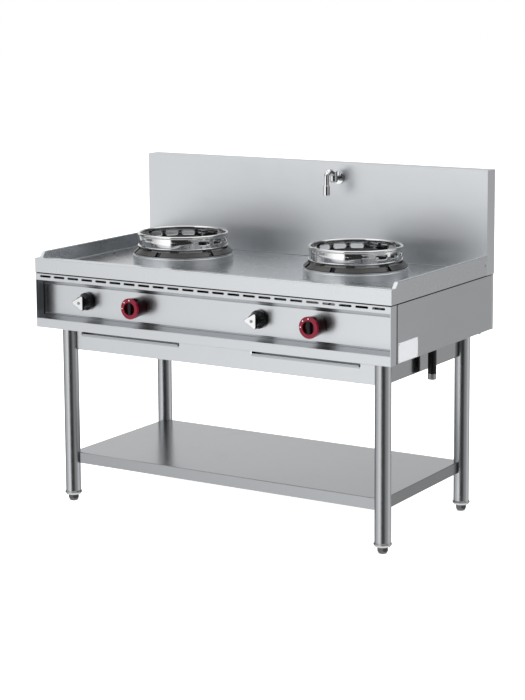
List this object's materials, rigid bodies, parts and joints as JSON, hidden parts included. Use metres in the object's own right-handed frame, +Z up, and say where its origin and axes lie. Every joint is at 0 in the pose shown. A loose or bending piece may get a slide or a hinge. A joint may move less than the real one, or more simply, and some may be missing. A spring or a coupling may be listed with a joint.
{
  "type": "wok range",
  "caption": "Free-standing gas wok range with recessed worktop, lift-off wok rings, tall backsplash with a swivelling tap, pull-out drip trays, round legs and a shelf.",
  "frame": {"origin": "on the floor, in the middle of the bounding box in plan", "axes": "+X to the right of someone facing the controls, +Y to the rear, +Z up"},
  "size_m": [1.3032, 0.708, 1.102],
  "materials": {
    "brushed_sheet": "fine brushed stainless sheet",
    "brushed_collar": "spun and brushed stainless",
    "inner_steel": "plain mill finish",
    "polished_tube": "mirror polished stainless tube",
    "foot_steel": "turned and polished",
    "chromed_ring": "chromed",
    "polished_tap": "chromed",
    "cast_iron": "black cast iron",
    "cast_alloy": "as cast",
    "brass": "turned brass",
    "red_knob": "glossy deep red",
    "black_knob": "glossy black",
    "black_pipe": "black paint"
  },
  "bodies": {
    "range_body": {"worktop": "brushed_sheet", "backsplash": "brushed_sheet", "backsplash_rear_cover": "brushed_sheet", "front_fascia": "brushed_sheet", "side_panel_left": "brushed_sheet", "side_panel_right": "brushed_sheet", "rear_panel": "brushed_sheet", "front_apron": "brushed_sheet", "rear_apron": "brushed_sheet", "side_apron_left": "brushed_sheet", "side_apron_right": "brushed_sheet", "shelf": "brushed_sheet", "top_frame": "inner_steel", "tray_runners": "inner_steel", "burner_bowl_left": "inner_steel", "burner_bowl_right": "inner_steel", "leg_front_left": "polished_tube", "leg_front_right": "polished_tube", "leg_rear_left": "polished_tube", "leg_rear_right": "polished_tube", "leg_sleeves": "foot_steel", "burner_collar_left": "brushed_collar", "burner_head_left": "cast_iron", "venturi_left": "cast_alloy", "pilot_burner_left": "inner_steel", "burner_valve_left": "brass", "pilot_valve_left": "brass", "burner_collar_right": "brushed_collar", "burner_head_right": "cast_iron", "venturi_right": "cast_alloy", "pilot_burner_right": "inner_steel", "burner_valve_right": "brass", "pilot_valve_right": "brass", "injectors": "brass", "thermocouples": "inner_steel", "gas_manifold": "black_pipe", "gas_inlet_pipe": "black_pipe", "faucet_body": "polished_tap", "water_pipe": "inner_steel", "screws": "foot_steel"},
    "drip_tray_left_body": {"drip_tray_left": "brushed_sheet"},
    "pan_support_left_body": {"pan_support_left": "cast_iron"},
    "wok_ring_left_body": {"wok_ring_left": "chromed_ring"},
    "burner_control_left": {"burner_spindle_left": "inner_steel", "burner_knob_left": "red_knob"},
    "pilot_stem_left": {"pilot_spindle_left": "inner_steel"},
    "pilot_button_left": {"pilot_knob_left": "black_knob"},
    "drip_tray_right_body": {"drip_tray_right": "brushed_sheet"},
    "pan_support_right_body": {"pan_support_right": "cast_iron"},
    "wok_ring_right_body": {"wok_ring_right": "chromed_ring"},
    "burner_control_right": {"burner_spindle_right": "inner_steel", "burner_knob_right": "red_knob"},
    "pilot_stem_right": {"pilot_spindle_right": "inner_steel"},
    "pilot_button_right": {"pilot_knob_right": "black_knob"},
    "foot_front_left": {"adjustable_foot_front_left": "foot_steel"},
    "foot_front_right": {"adjustable_foot_front_right": "foot_steel"},
    "foot_rear_left": {"adjustable_foot_rear_left": "foot_steel"},
    "foot_rear_right": {"adjustable_foot_rear_right": "foot_steel"},
    "spout": {"faucet_spout": "polished_tap", "faucet_aerator": "polished_tap"}
  },
  "joints": [
    {"name": "drip_tray_left_slide", "type": "slide", "parent": "range_body", "child": "drip_tray_left_body", "axis": [0, -1, 0], "range_m": [0, 0.4]},
    {"name": "pan_support_left_lift", "type": "slide", "parent": "range_body", "child": "pan_support_left_body", "axis": [0, 0, 1], "range_m": [0, 0.1]},
    {"name": "wok_ring_left_lift", "type": "slide", "parent": "pan_support_left_body", "child": "wok_ring_left_body", "axis": [0, 0, 1], "range_m": [0, 0.15]},
    {"name": "burner_knob_left_turn", "type": "hinge", "parent": "range_body", "child": "burner_control_left", "pos_m": [-0.273, -0.346, 0.68], "axis": [0, -1, 0], "range_deg": [0, 90]},
    {"name": "pilot_knob_left_turn", "type": "hinge", "parent": "range_body", "child": "pilot_stem_left", "pos_m": [-0.476, -0.346, 0.68], "axis": [0, -1, 0], "range_deg": [0, 90]},
    {"name": "pilot_knob_left_push", "type": "slide", "parent": "pilot_stem_left", "child": "pilot_button_left", "axis": [0, 1, 0], "range_m": [0, 0.004], "stiffness_N_per_m": 700, "springref_m": -0.003},
    {"name": "drip_tray_right_slide", "type": "slide", "parent": "range_body", "child": "drip_tray_right_body", "axis": [0, -1, 0], "range_m": [0, 0.4]},
    {"name": "pan_support_right_lift", "type": "slide", "parent": "range_body", "child": "pan_support_right_body", "axis": [0, 0, 1], "range_m": [0, 0.1]},
    {"name": "wok_ring_right_lift", "type": "slide", "parent": "pan_support_right_body", "child": "wok_ring_right_body", "axis": [0, 0, 1], "range_m": [0, 0.15]},
    {"name": "burner_knob_right_turn", "type": "hinge", "parent": "range_body", "child": "burner_control_right", "pos_m": [0.377, -0.346, 0.68], "axis": [0, -1, 0], "range_deg": [0, 90]},
    {"name": "pilot_knob_right_turn", "type": "hinge", "parent": "range_body", "child": "pilot_stem_right", "pos_m": [0.174, -0.346, 0.68], "axis": [0, -1, 0], "range_deg": [0, 90]},
    {"name": "pilot_knob_right_push", "type": "slide", "parent": "pilot_stem_right", "child": "pilot_button_right", "axis": [0, 1, 0], "range_m": [0, 0.004], "stiffness_N_per_m": 700, "springref_m": -0.003},
    {"name": "foot_front_left_screw", "type": "slide", "parent": "range_body", "child": "foot_front_left", "axis": [0, 0, -1], "range_m": [0, 0.03]},
    {"name": "foot_front_right_screw", "type": "slide", "parent": "range_body", "child": "foot_front_right", "axis": [0, 0, -1], "range_m": [0, 0.03]},
    {"name": "foot_rear_left_screw", "type": "slide", "parent": "range_body", "child": "foot_rear_left", "axis": [0, 0, -1], "range_m": [0, 0.03]},
    {"name": "foot_rear_right_screw", "type": "slide", "parent": "range_body", "child": "foot_rear_right", "axis": [0, 0, -1], "range_m": [0, 0.03]},
    {"name": "spout_swivel", "type": "hinge", "parent": "range_body", "child": "spout", "pos_m": [0.114, 0.265, 1.07], "axis": [0, 0, 1], "range_deg": [-80, 80]}
  ]
}
